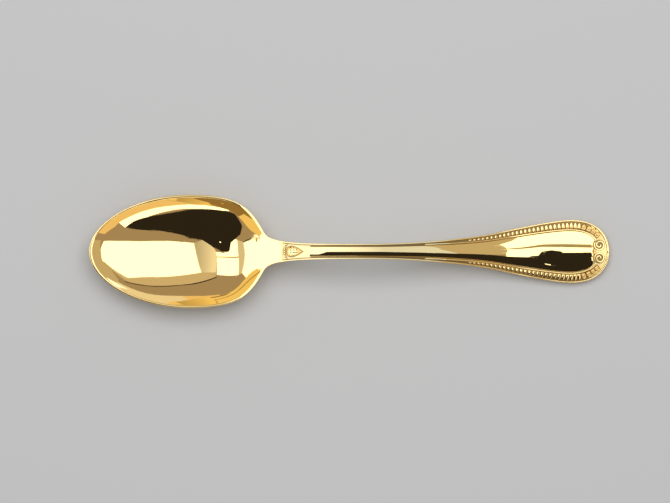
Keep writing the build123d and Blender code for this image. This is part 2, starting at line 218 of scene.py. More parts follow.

# The gold: two close tones, the brown of the shade painted in its hollows, and its marks, with scales per
# metre
GOLD_TONES = ((1.0, 0.76, 0.33, 1.0), (1.0, 0.78, 0.36, 1.0))
EDGE_TINT = (1.0, 0.9, 0.6, 1.0)
PAINTED_HOLLOW_SHADE = (0.13, 0.07, 0.022, 1.0)
TONE_NOISE = (60.0, 2.0)
SCRATCH_STRETCH = (300, 9000, 300)
SCRATCH_TURN = (0, 0, 0.5)
SCRATCH_NOISE = (1.0, 3.0)
SCRATCH_RANGE = (0.62, 0.75)
SCRATCH_DEPTH = 0.15
WAVE_NOISE = (160.0, 1.0)
WAVE_DEPTH = 0.2
HAZE_NOISE = (90.0, 4.0)
HAZE_RANGE = (0.45, 0.8)
BUMP_STRENGTH = 0.2
BUMP_DISTANCE = 0.00002


def clamped_spline(places, values, first_slope, last_slope):
    """A smooth curve through a few points, with its slope given at both ends."""
    x = np.array(places, float)
    y = np.array(values, float)
    step = np.diff(x)
    rise = np.diff(y) / step
    system = np.eye(len(x))
    right = np.zeros(len(x))
    right[0] = first_slope
    right[-1] = last_slope
    for i in range(1, len(x) - 1):
        system[i, i - 1 : i + 2] = step[i], 2 * (step[i - 1] + step[i]), step[i - 1]
        right[i] = 3 * (step[i] * rise[i - 1] + step[i - 1] * rise[i])
    slope = np.linalg.solve(system, right)

    def curve(at):
        at = np.asarray(at, float)
        i = np.clip(np.searchsorted(x, at) - 1, 0, len(step) - 1)
        s = (at - x[i]) / step[i]
        start = y[i] * (2 * s**3 - 3 * s**2 + 1) + step[i] * slope[i] * (s**3 - 2 * s**2 + s)
        return start + y[i + 1] * (3 * s**2 - 2 * s**3) + step[i] * slope[i + 1] * (s**3 - s**2)

    return curve


def slope_of(curve, at):
    """How steeply a curve climbs at some places."""
    at = np.asarray(at)
    return (curve(at + SLOPE_REACH) - curve(at - SLOPE_REACH)) / (2 * SLOPE_REACH)


keel = clamped_spline(*KEEL)
rim = clamped_spline(*RIM)
ground = clamped_spline(*GROUND)
thickness = clamped_spline(*THICKNESS)
back_crown = clamped_spline(*BACK_CROWN)


def step_along(point, angle, length):
    """The point at some distance from another, at an angle to +X."""
    turn = math.radians(angle)
    return (point[0] + length * math.cos(turn), point[1] + length * math.sin(turn))


def bezier(a, b, c, d, count=CURVE_POINTS):
    """Points along a cubic curve with two handles."""
    t = np.linspace(0, 1, count)[:, None]
    a, b, c, d = (np.array(p, float) for p in (a, b, c, d))
    return a * (1 - t) ** 3 + 3 * b * t * (1 - t) ** 2 + 3 * c * t**2 * (1 - t) + d * t**3


def joined(*runs):
    """Several runs of points as one line."""
    return np.vstack([runs[0]] + [run[1:] for run in runs[1:]])


def curve_through(*stops):
    """A smooth line through stops, each a point, a direction and the pulls before and after it."""
    runs = []
    for (here, turn, (_, ahead)), (there, bend, (back, _)) in zip(stops, stops[1:]):
        leave = step_along(here, turn, ahead)
        arrive = step_along(there, bend + 180, back)
        runs.append(bezier(here, leave, arrive, there))
    return joined(*runs)


def lengths_along(line):
    """The distance of each point of a line from its start."""
    return np.concatenate([[0], np.cumsum(np.linalg.norm(np.diff(line, axis=0), axis=1))])


def at_lengths(line, lengths):
    """Points at some distances along a line."""
    run = lengths_along(line)
    return np.column_stack([np.interp(lengths, run, line[:, k]) for k in range(line.shape[1])])


def resampled(line, count):
    """The line again, with its points evenly spaced."""
    return at_lengths(line, np.linspace(0, lengths_along(line)[-1], count))


def left_of(run):
    """Unit normals on the left of some directions."""
    run = run / np.linalg.norm(run, axis=1)[:, None]
    return np.column_stack([-run[:, 1], run[:, 0]])


def outward(line):
    """Unit normals on the left of a line that runs towards +X, away from the middle of the spoon."""
    return left_of(np.gradient(line, axis=0))


def mirrored_line(line):
    """The line on the other side of the spoon, run the other way."""
    return line[::-1] * np.array([1, -1])


def bowl_line(inset=0.0):
    """Half outline of the bowl from its tip to the neck, drawn in from its edge."""
    return curve_through(
        ((TIP[0] + inset, 0), 90, TIP_PULLS),
        ((WIDEST[0], WIDEST[1] - inset), 0, WIDEST_PULLS),
        (step_along(SHOULDER, SHOULDER_ANGLE - 90, inset), SHOULDER_ANGLE, SHOULDER_PULLS),
        ((NECK[0], NECK[1] - inset), NECK_ANGLE, NECK_PULLS),
    )


def handle_line():
    """Half outline of the handle from the neck to the end."""
    return curve_through(
        (NECK, NECK_ANGLE, NECK_PULLS),
        (STEM, 0, STEM_PULLS),
        (FLARE, FLARE_ANGLE, FLARE_PULLS),
        (END_WIDEST, 0, END_WIDEST_PULLS),
        (END, -90, END_PULLS),
    )


def panel_line(grow=0.0):
    """Half outline of the panel from its start to its end, drawn out from its edge."""
    start, stem, flare, widest = (
        (x, y + grow) for x, y in (PANEL_START, PANEL_STEM, PANEL_FLARE, PANEL_WIDEST)
    )
    curved = curve_through(
        (stem, 0, STEM_PULLS),
        (flare, PANEL_ANGLE, FLARE_PULLS),
        (widest, 0, PANEL_WIDEST_PULLS),
        ((PANEL_END[0] + grow, 0), -90, PANEL_END_PULLS),
    )
    return joined(np.linspace(start, stem, STRAIGHT_POINTS), curved)


def soft_min(a, b, blend):
    """The lower of two heights, with the corner between them rounded."""
    return (a + b - np.sqrt((a - b) ** 2 + blend**2)) / 2


def soft_step(a, b, at):
    """0 below a, 1 above b and smooth between."""
    t = np.clip((at - a) / (b - a), 0, 1)
    return t * t * (3 - 2 * t)


def trough(bottom, bend, y):
    """A round-bottomed section across the spoon."""
    radius = 1 / bend
    return bottom + radius - np.sqrt(np.maximum(radius**2 - y**2, 0))


def heel_share(x):
    """How far a place lies from the deepest part to the neck, eased at both ends."""
    return soft_step(DEEPEST_X, NECK[0], x)


def back_keel(x):
    """The line along the bottom of the bowl's back, which thickens towards the neck."""
    wall = BOWL_WALL + heel_share(x) * (NECK_THICKNESS - BOWL_WALL)
    return keel(x) - wall * np.hypot(1, slope_of(keel, x))


def rim_underside(x):
    """The height of the lower edge of the rim."""
    return rim(x) - RIM_THICKNESS - heel_share(x) * (NECK_EDGE - RIM_THICKNESS)


def bend_between(line, bottom, side_height):
    """How sharply a section bends to run from a bottom line up to a half outline, along the bowl."""
    line = resampled(line, BEND_POINTS)
    line = line[line[:, 0] > line[0, 0] + BEND_START]
    rise = side_height(line[:, 0]) - bottom(line[:, 0])
    bend = 2 * rise / (line[:, 1] ** 2 + rise**2)
    return lambda x: np.interp(x, line[:, 0], bend)


dish_bend = bend_between(bowl_line(RIM_WIDTH), keel, rim)
back_bend = bend_between(bowl_line(), back_keel, rim_underside)
handle_edge = handle_line()
panel_edge = panel_line()


def dish_top(x, y):
    """The inside of the bowl, its rim included."""
    return soft_min(trough(keel(x), dish_bend(x), y), rim(x), RIM_BLEND)


def dish_back(x, y):
    """The outside of the bowl, flat where it rests on the table."""
    return -soft_min(-trough(back_keel(x), back_bend(x), y), 0 * x, REST_BLEND)


def handle_top(x, y):
    """The top of the blank, which the relief stands on."""
    return ground(x) + 0 * y


def handle_back(x, y):
    """The crowned back of the handle."""
    side = np.interp(np.minimum(x, END_WIDEST[0]), handle_edge[:, 0], handle_edge[:, 1])
    crown = back_crown(np.minimum(x, END_WIDEST[0]))
    bottom = ground(x) - thickness(x) * np.hypot(1, slope_of(ground, x))
    bend = 2 * crown / (side**2 + crown**2)
    return trough(bottom, bend, y)


def panel_top(x, y):
    """The crowned field of the panel, let down round the scrolls and the fan."""
    side = np.interp(np.minimum(x, PANEL_WIDEST[0]), panel_edge[:, 0], panel_edge[:, 1])
    radius = (side**2 + PANEL_CROWN**2) / (2 * PANEL_CROWN)
    crown = PANEL_CROWN - radius + np.sqrt(radius**2 - y**2)
    from_scroll = np.hypot(x - VOLUTE[0], np.abs(y) - VOLUTE[1]) - VOLUTE_SEAT
    from_fan = np.hypot(x - PALMETTE_X, y) - PALMETTE_SEAT
    rise = soft_step(-SEAT_BLEND, SEAT_BLEND, np.minimum(from_scroll, from_fan))
    return ground(x) + (PANEL_EDGE + crown + SEAT_SINK) * rise - SEAT_SINK


def panel_foot(x, y):
    """The seat of the panel, just inside the blank."""
    return ground(x) - PANEL_SINK + 0 * y


def finished(name, mesh, node, material):
    """Makes a mesh a finished piece that stands for its solid and moves with the spoon."""
    piece = bpy.data.objects.new(name, mesh)
    bpy.context.scene.collection.objects.link(piece)
    if not mesh.materials:
        mesh.materials.append(material)
    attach(piece, "root")
    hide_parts(node)


def mesh_from(name, points, faces):
    """A smooth mesh in metres from points in millimetres, with its seams closed."""
    mesh = bpy.data.meshes.new(name)
    mesh.from_pydata((np.asarray(points) * MM).tolist(), [], faces)
    shape = bmesh.new()
    shape.from_mesh(mesh)
    bmesh.ops.remove_doubles(shape, verts=shape.verts, dist=WELD * MM)
    bmesh.ops.dissolve_degenerate(shape, edges=shape.edges, dist=NO_LENGTH)
    bmesh.ops.recalc_face_normals(shape, faces=shape.faces)
    shape.to_mesh(mesh)
    shape.free()
    mesh.shade_smooth()
    mesh.set_sharp_from_angle(angle=math.radians(SHARP_ANGLE))
    return mesh


def tube_faces(rows, columns, closed_rows=False):
    """Faces between rows of points, where each row is a closed loop."""
    faces = []
    for i in range(rows if closed_rows else rows - 1):
        for k in range(columns):
            j = (i + 1) % rows
            m = (k + 1) % columns
            faces.append((i * columns + k, i * columns + m, j * columns + m, j * columns + k))
    return faces


def row_cap(row, columns):
    """One face that fills a row of points."""
    return tuple(row * columns + k for k in range(columns))


def plate_mesh(name, line, spine, top, back, top_round, back_round, rings, edge_zone, open_end):
    """A plate with a half outline and its mirror image, between two heights.

    Rays run from the spine, a stretch of the middle line, out to the outline, over its rounded
    edge and back. edge_zone is the band beside the edge that gets closer rings, and open_end
    says which end of the outline is cut off square, the first or the last.
    """
    root = np.column_stack([np.clip(line[:, 0], *spine), np.zeros(len(line))])
    ray = line - root
    depth = np.maximum((ray * outward(line)).sum(1), LEAST_DEPTH)
    bend = np.linspace(0, math.pi / 2, EDGE_STEPS)

    def side_of(height, radius, sign):
        zone = np.linspace(edge_zone, radius, EDGE_RINGS, endpoint=False)
        distance = np.concatenate([zone, radius * (1 - np.sin(bend))])
        drop = np.concatenate([0 * zone, radius * (1 - np.cos(bend))])
        share = np.minimum(distance[None, :] / depth[:, None], 1)
        inner = (1 - share[:, :1]) * np.linspace(0, 1, rings, endpoint=False)
        out = np.hstack([inner, 1 - share])
        lower = np.concatenate([np.zeros(rings), drop])
        x = root[:, :1] + out * ray[:, :1]
        y = root[:, 1:] + out * ray[:, 1:]
        return np.stack([x, y, height(x, y) - sign * lower], axis=2)

    upper = side_of(top, top_round, 1)
    under = side_of(back, back_round, -1)[:, ::-1]
    half = np.concatenate([upper, under], axis=1)
    mirrored = half[:, -2:0:-1] * np.array([1, -1, 1])
    loop = np.concatenate([half, mirrored], axis=1)
    rows, columns = loop.shape[:2]
    faces = tube_faces(rows, columns)
    faces.append(row_cap(0 if open_end == "first" else rows - 1, columns))
    return mesh_from(name, loop.reshape(-1, 3), faces)


def ridge_mesh(name, line, width, height, closed, fullness, lean):
    """A raised line on the blank, whose outer side follows a line in plan.

    lean is how far its top falls towards the middle of the spoon, as a share of its height.
    """
    turn = np.linspace(0, math.pi, RIDGE_STEPS)
    share = (1 - np.cos(turn)) / 2
    width, height, lean = ((np.zeros(len(line)) + size)[:, None] for size in (width, height, lean))
    across = np.concatenate([[0], share, [1]]) * width
    top = (1 - (1 - np.sin(turn)) ** fullness) * height * (1 - share * lean)
    foot = np.full((len(line), 1), -RELIEF_SINK)
    rise = np.hstack([foot, top, foot])
    side = left_of(np.roll(line, -1, axis=0) - np.roll(line, 1, axis=0)) if closed else outward(line)
    plan = line[:, None, :] - side[:, None, :] * across[:, :, None]
    z = ground(plan[:, :, 0]) + rise
    loop = np.concatenate([plan, z[:, :, None]], axis=2)
    rows, columns = loop.shape[:2]
    faces = tube_faces(rows, columns, closed)
    if not closed:
        faces += [row_cap(0, columns), row_cap(rows - 1, columns)]
    return mesh_from(name, loop.reshape(-1, 3), faces)


def linked(tree, kind, inputs=None, **settings):
    """A new node with its settings, whose inputs are values or other nodes' outputs."""
    node = tree.nodes.new(kind)
    for key, value in settings.items():
        setattr(node, key, value)
    for key, value in (inputs or {}).items():
        if isinstance(value, bpy.types.NodeSocket):
            tree.links.new(value, node.inputs[key])
        else:
            node.inputs[key].default_value = value
    return node


def noise(tree, place, scale, detail):
    """A noise of some scale and detail."""
    inputs = {"Vector": place, "Scale": scale, "Detail": detail}
    return linked(tree, "ShaderNodeTexNoise", inputs).outputs[0]


def maths(tree, operation, *values):
    """The result of one operation on some values."""
    return linked(tree, "ShaderNodeMath", dict(enumerate(values)), operation=operation).outputs[0]


def ranged(tree, value, source, target):
    """A value carried over from one range to another."""
    inputs = {"Value": value, "From Min": source[0], "From Max": source[1]}
    inputs.update({"To Min": target[0], "To Max": target[1]})
    return linked(tree, "ShaderNodeMapRange", inputs).outputs[0]


def mixed(tree, factor, first, second):
    """A colour between two others."""
    inputs = {"Factor": factor, "A": first, "B": second}
    return linked(tree, "ShaderNodeMix", inputs, data_type="RGBA").outputs["Result"]


def new_sockets(group, direction, **kinds):
    """Named sockets of a node group, with an underscore for each space in a name."""
    for name, kind in kinds.items():
        group.interface.new_socket(
            name=name.replace("_", " "), in_out=direction, socket_type="NodeSocket" + kind
        )


def polish_group():
    """What a polished plate shows close up: hairline scratches, slight waves and handling marks."""
    group = bpy.data.node_groups.new("polish marks", "ShaderNodeTree")
    new_sockets(group, "INPUT", Scratch_Depth="Float", Wave_Depth="Float", Gloss="Float", Haze="Float")
    new_sockets(group, "OUTPUT", Height="Float", Roughness="Float")
    given = group.nodes.new("NodeGroupInput").outputs
    place = group.nodes.new("ShaderNodeTexCoord").outputs["Object"]
    along = linked(
        group, "ShaderNodeMapping", {"Vector": place, "Rotation": SCRATCH_TURN, "Scale": SCRATCH_STRETCH}
    )
    scratch = ranged(group, noise(group, along.outputs[0], *SCRATCH_NOISE), SCRATCH_RANGE, (0.0, -1.0))
    deep = maths(group, "MULTIPLY", scratch, given["Scratch Depth"])
    lift = maths(group, "MULTIPLY", noise(group, place, *WAVE_NOISE), given["Wave Depth"])
    marks = ranged(group, noise(group, place, *HAZE_NOISE), HAZE_RANGE, (0.0, 1.0))
    hazed = maths(group, "MULTIPLY", marks, given["Haze"])
    out = group.nodes.new("NodeGroupOutput").inputs
    group.links.new(maths(group, "ADD", deep, lift), out["Height"])
    group.links.new(maths(group, "ADD", hazed, given["Gloss"]), out["Roughness"])
    return group


def gold(name, marks, gloss, haze, hollow_shade, matt):
    """Gold plate with its polish marks; shade is painted into its hollows by a share of the brown, and they
    are rougher by matt.
    """
    material = bpy.data.materials.new(name)
    material.use_nodes = True
    tree = material.node_tree
    shader = tree.nodes["Principled BSDF"].inputs
    shader["Metallic"].default_value = 1.0
    shader["Specular Tint"].default_value = EDGE_TINT
    given = {"Gloss": gloss, "Haze": haze, "Scratch Depth": SCRATCH_DEPTH, "Wave Depth": WAVE_DEPTH}
    polish = linked(tree, "ShaderNodeGroup", given, node_tree=marks).outputs
    hollow = linked(tree, "ShaderNodeAttribute", attribute_name="hollow").outputs["Fac"]
    surface = {"Height": polish["Height"], "Strength": BUMP_STRENGTH, "Distance": BUMP_DISTANCE}
    bump = linked(tree, "ShaderNodeBump", surface)
    place = tree.nodes.new("ShaderNodeTexCoord").outputs["Object"]
    colour = mixed(tree, noise(tree, place, *TONE_NOISE), *GOLD_TONES)
    # painted shade: the colour turns towards the brown where the hollow mask is high
    darkened = mixed(tree, maths(tree, "MULTIPLY", hollow, hollow_shade), colour, PAINTED_HOLLOW_SHADE)
    rough = maths(tree, "MULTIPLY_ADD", hollow, matt, polish["Roughness"])
    tree.links.new(rough, shader["Roughness"])
    tree.links.new(bump.outputs[0], shader["Normal"])
    tree.links.new(darkened, shader["Base Color"])
    return material


def write_hollow(mesh, depth):
    """Keeps how deep each point of a piece lies in the relief, which sets its painted shade and its
    roughness.
    """
    hollow = mesh.attributes.new("hollow", "FLOAT", "POINT")
    hollow.data.foreach_set("value", np.asarray(depth, np.float32))


def points_of(mesh):
    """The points of a mesh in millimetres, and their heights above the blank."""
    co = np.zeros(len(mesh.vertices) * 3)
    mesh.vertices.foreach_get("co", co)
    co = co.reshape(-1, 3) / MM
    return co, co[:, 2] - ground(co[:, 0])


def mark_hollows(mesh, heights):
    """Marks painted shade, with more roughness, at the foot of a piece of relief: 1 at the low height above
    the blank, 0 at the high.
    """
    write_hollow(mesh, 1 - soft_step(*heights, points_of(mesh)[1]))


def pearl_spots():
    """The middles of the pearls, in a row that bows towards the bowl."""
    spread = np.linspace(-1, 1, PEARL_COUNT)
    half_row = PEARL_PITCH * (PEARL_COUNT - 1) / 2
    return np.column_stack([PEARLS_X + PEARL_BOW * spread**2, spread * half_row])


def leaf_edge():
    """The outline of the pointed leaf at the neck."""
    belly = LEAF_BELLY * LEAF_WIDTH / 2
    widest = (LEAF_X + LEAF_BELLY_AT * LEAF_LENGTH, belly)
    edge = bezier((LEAF_X, 0), (LEAF_X, belly), widest, (LEAF_X + LEAF_LENGTH, 0), LEAF_POINTS)
    return np.vstack([edge, mirrored_line(edge)[1:-1]])


def nearest(co, spots):
    """The distance in plan from each point to the nearest of some spots."""
    return np.min([np.hypot(co[:, 0] - x, co[:, 1] - y) for x, y in spots], axis=0)


def mark_ground(mesh):
    """Marks painted shade, with more roughness, on the sunk ground of the blank: the grooves, the border,
    the scrolls' seats and the neck, most beside the pearls, the leaf and the rib.
    """
    co, above = points_of(mesh)
    groove = soft_step(PANEL_START[0], PANEL_START[0] + GROOVE_START, co[:, 0])
    from_scroll = np.hypot(co[:, 0] - VOLUTE[0], np.abs(co[:, 1]) - VOLUTE[1])
    plain_end = soft_step(*PLAIN_END, co[:, 0]) * soft_step(*SCROLL_GROUND, from_scroll)
    side = np.interp(co[:, 0], handle_edge[:, 0], handle_edge[:, 1]) - np.abs(co[:, 1])
    pearls = 1 - soft_step(*PEARL_GROUND, nearest(co, pearl_spots()))
    leaf = LINE_SHARE * (1 - soft_step(*LEAF_GROUND, nearest(co, leaf_edge())))
    edge = LINE_SHARE * (1 - soft_step(*RIB_GROUND, side))
    neck = NECK_SHARE + (1 - NECK_SHARE) * np.max([pearls, leaf, edge], axis=0)
    depth = groove * (1 - PLAIN_END_SHARE * plain_end) + (1 - groove) * neck
    write_hollow(mesh, depth * (np.abs(above) < ON_GROUND))


def row_tree():
    """Copies of one shape, set on points that carry their own turn and size."""
    tree = bpy.data.node_groups.new("relief row", "GeometryNodeTree")
    new_sockets(tree, "INPUT", Geometry="Geometry", Shape="Object", Height="Float", Material="Material")
    new_sockets(tree, "OUTPUT", Geometry="Geometry")
    given = tree.nodes.new("NodeGroupInput").outputs
    shape = linked(tree, "GeometryNodeObjectInfo", {"Object": given["Shape"]})
    turn, size = (
        linked(tree, "GeometryNodeInputNamedAttribute", {"Name": name}, data_type="FLOAT_VECTOR").outputs[0]
        for name in ("turn", "size")
    )
    flat = linked(tree, "ShaderNodeSeparateXYZ", {"Vector": size}).outputs
    scale = linked(tree, "ShaderNodeCombineXYZ", {"X": flat["X"], "Y": flat["Y"], "Z": given["Height"]})
    copies = linked(
        tree,
        "GeometryNodeInstanceOnPoints",
        {
            "Points": given["Geometry"],
            "Instance": shape.outputs["Geometry"],
            "Rotation": turn,
            "Scale": scale.outputs[0],
        },
    )
    real = linked(tree, "GeometryNodeRealizeInstances", {"Geometry": copies.outputs[0]})
    coat = {"Geometry": real.outputs[0], "Material": given["Material"]}
    coated = linked(tree, "GeometryNodeSetMaterial", coat)
    linked(tree, "NodeGroupOutput", {"Geometry": coated.outputs[0]})
    return tree


def set_input(modifier, name, value):
    """Sets one named input of a Geometry Nodes modifier by its identifier."""
    for item in modifier.node_group.interface.items_tree:
        if item.in_out == "INPUT" and item.name == name:
            modifier[item.identifier] = value


def row_mesh(name, tree, shape, points, turns, sizes, height, material):
    """The plain mesh of a row of copies of a shape."""
    seeds = bpy.data.meshes.new(name + "_seeds")
    seeds.from_pydata((np.asarray(points) * MM).tolist(), [], [])
    for key, values in (("turn", turns), ("size", np.asarray(sizes) * MM)):
        kept = seeds.attributes.new(key, "FLOAT_VECTOR", "POINT")
        kept.data.foreach_set("vector", np.asarray(values, np.float32).ravel())
    holder = bpy.data.objects.new(name + "_seeds", seeds)
    bpy.context.scene.collection.objects.link(holder)
    modifier = holder.modifiers.new("row", "NODES")
    modifier.node_group = tree
    set_input(modifier, "Shape", shape)
    set_input(modifier, "Height", height * MM)
    set_input(modifier, "Material", material)
    ready = holder.evaluated_get(bpy.context.evaluated_depsgraph_get())
    mesh = bpy.data.meshes.new_from_object(ready)
    holder.modifiers.remove(modifier)
    bpy.data.objects.remove(holder)
    mesh.name = name
    mesh.shade_smooth()
    mesh.set_sharp_from_angle(angle=math.radians(ROW_SHARP_ANGLE))
    return mesh


def shape_object(name, height, spread, rings=6, spokes=16):
    """A small domed shape of unit size, as height over its plan; spread gives the plan's outline."""
    points = [(0, 0, height(0.0))]
    turns = [2 * math.pi * k / spokes for k in range(spokes)]
    for share in [(j + 1) / rings for j in range(rings)]:
        points += [(*(share * np.array(spread(turn))), height(share)) for turn in turns]
    points += [(*spread(turn), SHAPE_FOOT) for turn in turns]
    faces = [(0, 1 + k, 1 + (k + 1) % spokes) for k in range(spokes)]
    for j in range(rings):
        low, high = 1 + j * spokes, 1 + (j + 1) * spokes
        for k in range(spokes):
            m = (k + 1) % spokes
            faces.append((low + k, high + k, high + m, low + m))
    faces.append(tuple(1 + rings * spokes + k for k in reversed(range(spokes))))
    mesh = bpy.data.meshes.new(name)
    mesh.from_pydata(points, [], faces)
    mesh.shade_smooth()
    return bpy.data.objects.new(name, mesh)


def tongue_plan(turn):
    """Square and full towards the panel, round and narrower at the edge of the handle."""
    c, s = math.cos(turn), math.sin(turn)
    if s < 0:
        reach = 0.5 / max(abs(c), abs(s))
        return (reach * c, reach * s)
    return (0.5 * c * (1 - TONGUE_TAPER * s), 0.5 * s)


def oval_plan(turn):
    """A round outline."""
    return (0.5 * math.cos(turn), 0.5 * math.sin(turn))


def pillow(share, edge):
    """A pillow from its middle to its rim, with a tighter edge for a higher power."""
    return math.sqrt(max(1 - share**edge, 0))


def petal_rise(share):
    """A full pillow, steep at its edge."""
    return pillow(share, PETAL_EDGE)


def tongue_rise(share):
    """A tongue: nearly flat on top, with a rounded edge."""
    return pillow(share, TONGUE_EDGE) * (1 - TONGUE_FALL * share**2)


def egg_rise(share):
    """A leaf: an egg in its middle, a hollow round it and a raised edge."""
    egg = math.exp(-((share / EGG_REACH) ** 4))
    lip = math.exp(-(((share - EGG_LIP[0]) / EGG_LIP[1]) ** 2))
    return pillow(share, LEAF_EDGE) * (EGG_FLOOR + (1 - EGG_FLOOR) * min(egg + lip, 1))


def border_place(length, inwards):
    """A point in the border and the direction of the edge there."""
    before, here, after = at_lengths(handle_edge, length + EDGE_REACH * np.array([-1, 0, 1]))
    run = (after - before) / np.linalg.norm(after - before)
    return here + inwards * np.array([run[1], -run[0]]), run


def tilt_of(x, run):
    """The turn that lays a shape on the blank with its X along a direction."""
    pitch = float(slope_of(ground, x))
    up = Vector((-pitch, 0, 1)).normalized()
    side = Vector((run[0], run[1], pitch * run[0])).normalized()
    across = up.cross(side)
    return Matrix([[side[k], across[k], up[k]] for k in range(3)]).to_euler()


def on_ground(spots):
    """Points in plan, lifted to the top of the blank."""
    return [(x, y, float(ground(x))) for x, y in spots]


def border_row(first, count, pitch, gap, sign):
    """Places, turns and sizes of the leaves of one row of the border."""
    spots, turns, sizes = [], [], []
    outer = RIB_WIDTH + BORDER_ROOM
    for k in range(count):
        length = first + (k + 0.5) * pitch
        edge = at_lengths(handle_edge, np.array([length]))[0]
        inner = np.linalg.norm(panel_edge - edge, axis=1).min()
        inner -= FILLET_GROOVE + FILLET_WIDTH + BORDER_ROOM
        place, run = border_place(length, (outer + inner) / 2)
        place = place * np.array([1, sign])
        run = run * np.array([1, sign]) * sign
        spots.append(place)
        turns.append(tilt_of(place[0], run))
        sizes.append((pitch - gap, inner - outer, 1))
    return on_ground(spots), turns, sizes


def length_at(x):
    """The distance along the edge of the handle of its point at some place."""
    return float(np.interp(x, handle_edge[:, 0], lengths_along(handle_edge)))


def scroll_line():
    """The middle line of the left scroll, which winds inwards from the end of the fillet."""
    turn = np.linspace(0, 1, SCROLL_POINTS)
    radius = VOLUTE_RADIUS + turn**VOLUTE_TIGHTENING * (VOLUTE_EYE - VOLUTE_RADIUS)
    angle = np.radians(VOLUTE_START + 360 * VOLUTE_TURNS * turn)
    return np.column_stack([VOLUTE[0] + radius * np.cos(angle), VOLUTE[1] + radius * np.sin(angle)])


def leaf_mesh(name):
    """The pointed leaf at the neck: a raised edge, a rib along its middle and veined sides."""
    outline = leaf_edge()
    centre = LEAF_X + LEAF_BELLY_AT * LEAF_LENGTH
    spine = outline[:, 0] * LEAF_SPINE + (1 - LEAF_SPINE) * centre
    middle = np.column_stack([spine, 0 * spine])
    out = LEAF_RINGS
    plan = middle[:, None, :] + out[None, :, None] * (outline - middle)[:, None, :]
    rib = LEAF_RIB[0] * np.exp(-((out / LEAF_RIB[1]) ** 2))
    lip = LEAF_LIP[0] * np.exp(-(((out - LEAF_LIP[1]) / LEAF_LIP[2]) ** 2))
    rise = LEAF_FLOOR + rib + lip
    rise = LEAF_HEIGHT * rise / rise.max() * np.sqrt(1 - out**LEAF_EDGE)
    swept = plan[:, :, 0] - VEIN_SWEEP * np.abs(plan[:, :, 1])
    veins = VEIN_DEPTH * (1 + np.cos(2 * math.pi * (swept - LEAF_X) / VEIN_PITCH)) / 2
    field = soft_step(*VEINS_START, out) * (1 - soft_step(*VEINS_STOP, out))
    z = ground(plan[:, :, 0]) + rise[None, :] - veins * field[None, :]
    top = np.concatenate([plan, z[:, :, None]], axis=2)
    foot = top[:, -1:] - np.array([0, 0, RELIEF_SINK])
    loops = np.concatenate([top, foot], axis=1).transpose(1, 0, 2)
    rows, columns = loops.shape[:2]
    faces = tube_faces(rows, columns) + [row_cap(rows - 1, columns)]
    return mesh_from(name, loops.reshape(-1, 3), faces)


marks = polish_group()
plate = gold("gold plate", marks, gloss=0.02, haze=0.04, hollow_shade=0.0, matt=0.0)
# the relief gets painted shade and more roughness in its hollows
relief = gold("gold relief", marks, gloss=0.06, haze=0.06, hollow_shade=0.85, matt=0.3)


def build_plates():
    """The bowl, the blank of the handle and its panel."""
    bowl = plate_mesh(
        "bowl", resampled(bowl_line(), BOWL_POINTS), spine=(-56, NECK[0]), top=dish_top, back=dish_back,
        top_round=0.22, back_round=0.3, rings=34, edge_zone=1.7, open_end="last",
    )
    finished("bowl_dish", bowl, "bowl", plate)
    handle = plate_mesh(
        "handle", resampled(handle_edge, HANDLE_POINTS), spine=(NECK[0], 60), top=handle_top,
        back=handle_back, top_round=0.03, back_round=0.7, rings=30, edge_zone=1.2, open_end="first",
    )
    mark_ground(handle)
    finished("handle_blank", handle, "handle", relief)
    panel = plate_mesh(
        "panel", resampled(panel_edge, PANEL_POINTS), spine=(PANEL_START[0], 58), top=panel_top,
        back=panel_foot, top_round=0.12, back_round=0.02, rings=34, edge_zone=0.5, open_end="first",
    )
    finished("handle_panel", panel, "panel", plate)


def build_raised_lines():
    """The rib round the edge of the handle and the fillets beside the panel."""
    edge = resampled(handle_edge, RIB_POINTS)
    across = np.linspace(edge[0] * np.array([1, -1]), edge[0], RIB_ACROSS_POINTS)
    loop = np.vstack([edge[:-1], mirrored_line(edge), across[1:-1]])
    broad = RIB_WIDTH + RIB_SPREAD * soft_step(*RIB_SPREADS, loop[:, 0])
    lean = RIB_RIGHT_LEAN * (loop[:, 1] < 0)
    rib = ridge_mesh("edge_rib", loop, broad, RIB_HEIGHT, True, RIB_FULLNESS, lean)
    mark_hollows(rib, RIB_HOLLOW)
    finished("handle_edge_rib", rib, "edge_rib", relief)
    fillet = resampled(panel_line(FILLET_GROOVE + FILLET_WIDTH), FILLET_POINTS)
    clear = np.hypot(fillet[:, 0] - VOLUTE[0], fillet[:, 1] - VOLUTE[1]) > VOLUTE_SEAT
    kept = fillet[(fillet[:, 0] > FILLET_START) & clear & (fillet[:, 1] > VOLUTE[1])]
    sides = (("left", kept, FILLET_LEFT_LEAN), ("right", mirrored_line(kept), FILLET_RIGHT_LEAN))
    for side, line, lean in sides:
        height = FILLET_HEIGHT * soft_step(*FILLET_RISE, line[:, 0])
        ridge = ridge_mesh(side + "_fillet", line, FILLET_WIDTH, height, False, FLAT_TOP, lean)
        mark_hollows(ridge, FILLET_HOLLOW)
        finished(side + "_panel_fillet", ridge, "panel_fillet", relief)


